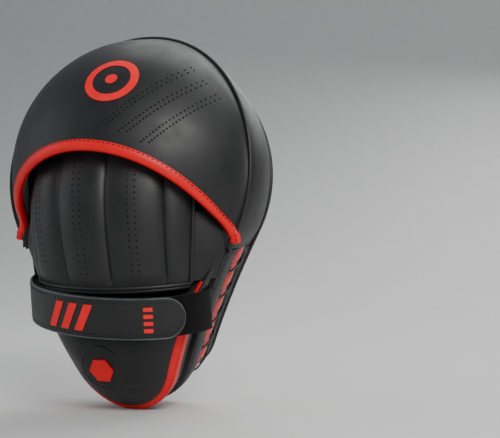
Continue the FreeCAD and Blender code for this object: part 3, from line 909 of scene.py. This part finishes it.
def make_hood_details(cover):
    tree = surface_of(cover)
    forward = Vector((0, 1, 0))
    perforate(tree, (((12.5, 198.0), (55.0, 239.0), (17.5, 198.5), (57.5, 237.0)),
                     ((27.0, 194.0), (65.0, 229.5), (32.5, 193.5), (67.5, 227.5)),
                     ((42.0, 186.5), (74.5, 219.5), (47.0, 186.0), (77.0, 217.0))), 21, forward,
              "hood_perforations")
    hit, normal = onto(tree, Vector((11.0, 0, 230.5)), forward, 0.0)
    across = (Vector((1, 0, 0)) - normal * normal.x).normalized()
    up = across.cross(normal) * (1 if across.cross(normal).z > 0 else -1)
    bm = bmesh.new()
    steps = 72
    for outer, inner in ((19.4, 17.4), (17.4, 15.4), (15.4, 13.6), (4.4, 2.2), (2.2, 0.05)):
        for i in range(steps):
            turns = [2 * math.pi * j / steps for j in (i, i, i + 1, i + 1)]
            bm.faces.new([bm.verts.new((r * math.cos(t), r * math.sin(t), 0))
                          for r, t in zip((inner, outer, outer, inner), turns)])
    bmesh.ops.remove_doubles(bm, verts=bm.verts, dist=0.008)
    for v in bm.verts:
        v.co = onto(tree, hit + across * v.co.x + up * v.co.y, -normal, 0.22)[0]
    face_away(bm, Vector((0, 60, 150)))
    finish_piece(bm, "hood_roundel_print", "pad", RED_INK)


# ---- the hand-back pad -------------------------------------------------------------------------------
def quilt_depth(phi, deg):
    """How far the cover stands out between its quilting lines."""
    lines = quilt_lines(deg)
    for low, high in zip(lines, lines[1:]):
        if phi <= high:
            t = min(1.0, max(0.0, (phi - low) / (high - low)))
            return (2.4 if high - low < 25 else 4.2) * (1 - abs(2 * t - 1) ** 2.3) ** 0.62
    return 0.0


def quilt_lines(deg):
    """Where the quilting lines cross the arch at an angle up the bend, its two edges among them."""
    t = (deg - PAD_DEG[0]) / (8.0 - PAD_DEG[0])
    return [QUILT_ENDS[0]] + [lerp(low, high, t) for low, high in QUILT_LINES] + [QUILT_ENDS[1]]


def make_hand_pad():
    per_channel = 22

    def angle(u, deg):
        """Columns gather near the quilting lines."""
        lines = quilt_lines(deg)[::-1]
        i = min(4, int(u * 5))
        t = u * 5 - i
        return lerp(lines[i], lines[i + 1], 0.5 - 0.5 * math.cos(math.pi * t))

    def place(u, v):
        deg = lerp(*PAD_DEG, v)
        phi = angle(u, deg)
        return arch(phi, deg, -3.4 + quilt_depth(phi, deg) * min(1.0, 0.3 + v * 9))
    cover = finish_piece(patch(5 * per_channel, 48, place, Vector((0, 20, 140))), "hand_pad_cover_leather",
                         "pad", BLACK_LEATHER,
                         ["hand_pad_cover"] + [f"finger_channel_{i + 1}" for i in range(5)])

    def held(p):
        deg = math.degrees(math.atan2(p.z - BEND_Z, BEND_R - p.y))
        if deg < PAD_DEG[0] + 0.2 or deg > PAD_DEG[1] - 0.2:
            return True
        half = along([(d, w) for d, w, _ in PAD_SECTION], deg)
        height = along([(d, t) for d, _, t in PAD_SECTION], deg)
        rise = math.hypot(p.z - BEND_Z, BEND_R - p.y) - BEND_R
        phi = math.degrees(math.atan2(rise / height, p.x / half))
        return min(abs(phi - line) for line in quilt_lines(deg)) < 0.5
    inflate(cover, held, pressure=3.0, cap=1.5)
    subdivide(cover)
    thicken(cover, LEATHER)
    lining = finish_piece(patch(60, 30,
                                lambda u, v: arch(lerp(*QUILT_ENDS[::-1], u), lerp(*PAD_DEG, v), -11.5),
                                Vector((0, 20, 140))), "hand_pad_lining_cloth", "pad", LINING,
                          ["hand_pad_lining"])
    thicken(lining, 1.0)
    tree = surface_of(cover)
    bm = bmesh.new()
    for channel, deg_low, deg_high, count in ((1, -5.6, 6.6, 18), (2, -5.2, 8.2, 19), (3, -4.0, 7.0, 16)):
        for i in range(count):
            deg = lerp(deg_low, deg_high, i / (count - 1))
            lines = quilt_lines(deg)
            middle = lerp(lines[channel], lines[channel + 1], 0.5 if channel > 1 else 0.56)
            for turn in (-2.1, 2.1):
                spot = arch(middle + turn, deg, 0)
                inward = (arch(middle + turn, deg, -1) - spot).normalized()
                punch(bm, *onto(tree, spot, inward, 0.12), 0.68)
    finish_piece(bm, "hand_pad_perforations", "pad", HOLE_PAINTED_SHADE, smooth_shaded=False)
    return cover


def make_hand_pad_edges():
    """Piping down both sides and a double welt along the lower edge."""
    bm = bmesh.new()
    steps = 60
    for phi in QUILT_ENDS:
        degs = [lerp(PAD_DEG[0], PAD_DEG[1] - 3, i / steps) for i in range(steps + 1)]
        path = [arch(phi, deg, -2.4) for deg in degs]
        normals = [(arch(phi, deg, 1) - arch(phi, deg, 0)).normalized() for deg in degs]
        merge_into(bm, sweep(path, normals, ring_section(1.5)))
    phis = [lerp(*QUILT_ENDS, i / 120) for i in range(121)]
    normals = [(arch(phi, PAD_DEG[0], 1) - arch(phi, PAD_DEG[0], 0)).normalized() for phi in phis]
    for drop, out, r in ((0.02, -2.6, 1.35), (-0.42, -3.6, 1.35), (-0.36, -6.6, 1.6)):
        merge_into(bm, sweep([arch(phi, PAD_DEG[0] + drop, out) for phi in phis], normals, ring_section(r)))
    finish_piece(bm, "hand_pad_edge_piping", "pad", BLACK_LEATHER, ["hand_pad_edging"])


def make_wings():
    """The leather between the hand-back pad's sides and the body's seam, running in under the hood."""
    for side, name in ((-1, "left"), (1, "right")):
        def place(u, v):
            deg = lerp(PAD_DEG[0] + 0.2, 2.5, v)
            inner = arch(QUILT_ENDS[0] if side > 0 else QUILT_ENDS[1], deg, -2.6)
            z = bent(0, deg, 0).z
            reach = half_width(z, 1.2)
            if z > MOUTH_Z:
                reach = min(reach, MOUTH_A * math.sqrt(1 - ((z - MOUTH_Z) / MOUTH_B) ** 2) - 3.5)
            outer = carry(side * reach, z, 0.9)
            away = Vector((side, -1.0, 0)).normalized()
            return inner.lerp(outer, u) + away * 1.6 * math.sin(math.pi * u)
        wing = finish_piece(patch(16, 40, place, Vector((0, 20, 130))), f"side_wing_{name}_leather", "pad",
                            SHADED_SIDE_LEATHER, [f"side_wing_{name}"])
        subdivide(wing)
        thicken(wing, LEATHER)


def make_palm():
    """The palm side inside the slot: a brushed panel over the whole back of the body and a covered ball."""
    def place(radius, turn):
        x, z = outline(turn * 2 * HALF_RIM, 0.6)
        return carry(x * radius, lerp(135.0, z, radius), 0.25 - 0.4 * radius ** 6)
    panel = finish_piece(disc(48, place, Vector((0, 60, 130))), "palm_panel_cloth", "pad", LINING,
                         ["palm_panel"])
    thicken(panel, 1.2)

    def ball(radius, turn):
        a = turn * 2 * math.pi
        x, up = 21 * radius * math.sin(a), 21 * radius * math.cos(a)
        height = 0.6 + 8.6 * (1 - radius ** 2) ** 0.8
        return bent(x, 4.0 + math.degrees(up / BEND_R), height)
    bump = finish_piece(disc(24, ball, bent(0, 4.0, -40)), "palm_ball_cloth", "pad", LINING,
                        ["palm_ball"])
    thicken(bump, 1.0)


# ---- the wrist pad -----------------------------------------------------------------------------------
WRIST_S = s_at(WRIST_TOP_Z)


def wrist_height(x, z, lift=0.0):
    """The wrist pad's top: it rises from the edge's height to its crown, away from the edge."""
    crown = along(WRIST_CROWN, z)
    edge = wrist_edge(z)
    inside = min(1.0, max(0.0, outline_depth(x, z) - WRIST_INSET - 1.0) / 30)
    return edge + (crown - edge) * (1 - (1 - inside) ** 2.2) ** 0.85 + lift


def wrist_edge(z):
    return min(WRIST_WALL_H + 2.5, along(WRIST_CROWN, z) * 0.85)


def wrist_point(u, v):
    """u across from left to right, v from the top edge down to the heel."""
    x, z = outline(lerp(WRIST_S, HALF_RIM, v), WRIST_INSET + 1.2)
    x *= 2 * u - 1
    return carry(x, z, wrist_height(x, z))


def make_wrist_pad():
    cover = finish_piece(patch(56, 64, wrist_point, Vector((0, 60, 60))), "wrist_pad_cover_leather", "pad",
                         BLACK_LEATHER, ["wrist_pad_cover", "wrist_pad_foam"])
    inflate(cover, lambda p: distance_to_rim(p) < WRIST_INSET + 4.5 or p.z > 60, pressure=3.0, cap=1.2)
    subdivide(cover)
    thicken(cover, LEATHER)

    def wall(u, v):
        s = lerp(WRIST_S, 2 * HALF_RIM - WRIST_S, u)
        return rim(s, WRIST_INSET - 0.8 * math.sin(math.pi * v), lerp(0.2, wrist_edge(outline(s)[1]), v))
    side = finish_piece(patch(180, 8, wall, Vector((0, 20, 60))), "wrist_pad_wall_leather", "pad",
                        SHADED_SIDE_LEATHER, ["wrist_pad_wall"])
    subdivide(side)
    thicken(side, LEATHER)
    return cover


def binding_point(s, t, lift=0.0):
    """Across the wrist pad's red binding: t from its sewn edge on the wall, round onto the top."""
    top = wrist_edge(outline(s)[1])
    if t < 0.5:
        return rim(s, WRIST_INSET - 0.7 - lift, top - lerp(5.5, 0.8, t / 0.5))
    inset = WRIST_INSET + lerp(-0.2, 4.0, (t - 0.5) / 0.5)
    x, z = outline(s, inset)
    return carry(x, z, max(top, wrist_height(x, z)) + 0.9 - 0.8 * smooth((t - 0.8) / 0.2) + lift)


def make_wrist_binding():
    start = s_at(90.0)

    def place(u, v):
        s = lerp(start, 2 * HALF_RIM - start, u)
        return binding_point(s, v, -1.2 * smooth((outline(s)[1] - 56.0) / 8))
    binding = finish_piece(patch(220, 12, place, Vector((0, 20, 60))), "wrist_pad_binding_leather", "pad",
                           RED_LEATHER, ["wrist_pad_binding"])
    subdivide(binding)
    thicken(binding, 0.9)


def make_badge(cover):
    """A pressed round badge: a fine raised rim, a flat field and a plain grooved red hexagon."""
    tree = surface_of(cover)
    low = math.radians(30.0)
    inward = Vector((0, math.cos(low), math.sin(low)))
    across, up = Vector((1, 0, 0)), Vector((0, -math.sin(low), math.cos(low)))
    centre = Vector((BADGE_X, -20.0, BADGE_Z))

    def on(x, z, lift):
        return onto(tree, centre + across * x + up * z, inward, lift)[0]

    def place(radius, turn):
        a = turn * 2 * math.pi
        r = radius * (BADGE_R + 1.2)
        lift = 0.12 + 0.5 * math.exp(-((r - BADGE_R) / 0.5) ** 2) - 0.25 * smooth((r - BADGE_R) / 1.2)
        return on(r * math.sin(a), r * math.cos(a), lift)
    plate = finish_piece(disc(56, place, centre + inward * 30), "badge_plate_rubber", "pad", BADGE_RUBBER,
                         ["badge_disc"])
    thicken(plate, 0.5)
    bm = bmesh.new()
    bmesh.ops.create_circle(bm, cap_ends=True, segments=6, radius=9.6,
                            matrix=Matrix.Rotation(math.pi / 6, 4, "Z"))
    for thickness, depth in ((0.6, 0.5), (1.5, 0.0), (0.3, -0.5), (0.6, 0.0), (0.3, 0.5)):
        top = min((f for f in bm.faces if len(f.verts) == 6), key=lambda f: f.calc_area())
        bmesh.ops.inset_region(bm, faces=[top], thickness=thickness, depth=depth)
    for v in bm.verts:
        v.co = on(v.co.x, v.co.y, 0.9 + v.co.z)
    face_away(bm, centre + inward * 30)
    emblem = finish_piece(bm, "badge_emblem_rubber", "pad", RED_RUBBER, ["badge_emblem"],
                          smooth_shaded=False)
    thicken(emblem, 1.2)


# ---- the strap ---------------------------------------------------------------------------------------
def strap_half(phi, shrink=0.0):
    """Half the strap's width, rounded at its free end."""
    radius = STRAP_HALF - shrink
    travel = math.radians(phi - STRAP_TIP) * 62 - shrink
    return radius * math.sqrt(max(0.0, 1 - (1 - min(1.0, max(0.0, travel) / radius)) ** 2))


def make_strap():
    def place(u, v):
        phi = lerp(STRAP_TIP, STRAP_ROOT, u ** 1.35)
        w = (2 * v - 1)
        puff = 0.7 * (1 - w ** 4)
        return strap_point(phi, w * strap_half(phi), -0.2 + puff)
    bm = patch(110, 16, place, Vector((0, 30, 60)))
    strap = finish_piece(bm, "wrist_strap_leather", "strap", BLACK_LEATHER, ["wrist_strap"])
    subdivide(strap)
    thicken(strap, STRAP_T)
    steps = 140
    lower = [(lerp(STRAP_TIP, STRAP_ROOT, (i / steps) ** 1.6), -1) for i in range(steps + 1)][::-1]
    upper = [(lerp(STRAP_TIP, STRAP_ROOT, (i / steps) ** 1.6), 1) for i in range(1, steps + 1)]
    edge = lower + upper
    path = [strap_point(phi, side * strap_half(phi), -0.8) for phi, side in edge]
    normals = [(strap_point(phi, 0, 1) - strap_point(phi, 0, 0)).normalized() for phi, _ in edge]
    # the bound edge's light grey colour is a painted highlight
    rope = finish_piece(sweep(path, normals, [(1.0, -0.45), (1.2, 0), (1.0, 0.45), (0, 0.75), (-1.0, 0.45),
                                              (-1.2, 0), (-1.0, -0.45), (0, -0.75)]),
                        "strap_bound_edge", "strap", HIGHLIGHT_EDGE_LEATHER, ["strap_edging"])
    subdivide(rope)
    row = bmesh.new()
    inset = 2.6
    run = [(phi, side) for phi, side in edge
           if math.radians(phi - STRAP_TIP) * 62 > inset and phi < STRAP_ROOT - 2.5]
    points = [strap_point(phi, side * strap_half(phi, inset), 0.35) for phi, side in run]
    stitches(row, points, [(strap_point(phi, 0, 1) - strap_point(phi, 0, 0)).normalized() for phi, _ in run])
    finish_piece(row, "strap_stitching", "strap", BLACK_THREAD)
    return strap


def make_strap_print():
    """Three slanted bars and a short ladder of marks."""
    bm = bmesh.new()

    def bar(phi, w0, w1, lean, half):
        grid = bmesh.new()
        bmesh.ops.create_grid(grid, x_segments=2, y_segments=8, size=0.5)
        for v in grid.verts:
            t = v.co.y + 0.5
            v.co = strap_point(phi - lean * (t - 0.5) + v.co.x * 2 * half, lerp(w0, w1, t), 0.85)
        face_away(grid, Vector((0, 30, 60)))
        merge_into(bm, grid)
    for phi in (111.5, 102.0, 92.5):
        bar(phi, -9.5, 9.5, 7.0, 2.7)
    for i in range(4):
        w = 8.6 - 5.0 * i
        bar(55.0, w, w - 2.9, 0.0, 2.7)
    finish_piece(bm, "strap_bars_print", "strap", RED_INK)


def make_loop_band():
    band_in = STRAP_T + 0.1 + 1.1 + 0.3

    def place(u, v):
        return strap_point(lerp(4.5, 175.5, u), (2 * v - 1) * STRAP_HALF, -band_in)
    band = finish_piece(patch(90, 10, place, Vector((0, 30, 60))), "loop_band_pile", "pad", LOOP_PILE,
                        ["loop_band"])
    thicken(band, 1.8)
    for side, name in ((1, "right"), (-1, "left")):
        def ear(u, v):
            top = strap_point(4.5 if side > 0 else 175.5, (2 * v - 1) * STRAP_HALF, -band_in - 0.9)
            s = s_at(lerp(58.0, 86.0, v))
            return top.lerp(rim(s if side > 0 else 2 * HALF_RIM - s, 1.0, -0.6), u)
        tab = finish_piece(patch(8, 12, ear, Vector((0, 30, 60))), f"band_tab_{name}_pile", "pad",
                           LOOP_PILE, [f"band_tab_{name}"])
        thicken(tab, 1.6, offset=0.0)

    def hook(u, v):
        return strap_point(lerp(STRAP_TIP + 9, 78, u), (2 * v - 1) * (STRAP_HALF - 3), -STRAP_T - 0.1)
    hooks = finish_piece(patch(30, 8, hook, Vector((0, 30, 60))), "hook_patch_tape", "strap", HOOK_TAPE,
                         ["hook_patch"])
    thicken(hooks, 1.1)


def make_strap_anchor():
    """The strap's sewn end, folded round to the gusset."""
    def place(u, v):
        phi = lerp(STRAP_ROOT + 0.4, 181.0, u)
        return strap_point(phi, (2 * v - 1) * STRAP_HALF, 0.0)
    anchor = finish_piece(patch(12, 12, place, Vector((0, 30, 60))), "strap_anchor_leather", "pad",
                          BLACK_LEATHER, ["strap_anchor"])
    subdivide(anchor)
    thicken(anchor, STRAP_T)


# ---- stitching along the body's seams ----------------------------------------------------------------
def make_body_stitching(trees):
    """Rows beside the seams, laid on whichever cover they cross."""
    row = bmesh.new()

    def sew(places):
        points, normals = [], []
        for s, h in places:
            out = outward_at(s, h)
            hits = [tree.ray_cast(rim(s, -9, h), -out, 14) for tree in trees]
            hits = [hit for hit in hits if hit[0] is not None]
            if hits:
                first = min(hits, key=lambda hit: hit[3])
                points.append(first[0] + out * 0.05)
                normals.append(out)
        stitches(row, points, normals)
    low, high = JUNCTION_S + 3, 2 * HALF_RIM - JUNCTION_S - 3
    sew([(lerp(-JUNCTION_S + 2, JUNCTION_S - 2, i / 400), FACE_SEAM_H + 3.6) for i in range(401)])
    for h in (FACE_SEAM_H + 3.2, -17.5, -4.0):
        sew([(lerp(low, high, i / 300), h) for i in range(301)])
    for side in (1, -1):
        for s in (JUNCTION_S - 2.5, JUNCTION_S + 2.5):
            sew([(side * s, lerp(-3.0, FACE_SEAM_H + 3, i / 30)) for i in range(31)])
    finish_piece(row, "body_seam_stitching", "pad", BLACK_THREAD)


def make_inner_layers():
    """The foam, gel and board stay as they are inside the covers."""
    for name, material in (("strike_foam", FOAM), ("gel_sheet", GEL), ("backing_board", BOARD),
                           ("palm_foam", FOAM)):
        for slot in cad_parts[name].material_slots:
            slot.material = material


def main():
    make_camera()
    make_stage()
    make_lights()
    face = make_face()
    sides = [make_head_band(), *make_gusset()]
    make_laces()
    make_pipings()
    make_face_print(face)
    hood = make_hood()
    make_hood_binding()
    make_hood_details(hood)
    make_hand_pad()
    make_hand_pad_edges()
    make_wings()
    make_palm()
    wrist = make_wrist_pad()
    make_wrist_binding()
    make_badge(wrist)
    make_strap()
    make_strap_print()
    make_loop_band()
    make_strap_anchor()
    make_body_stitching([surface_of(piece) for piece in sides])
    make_inner_layers()


main()
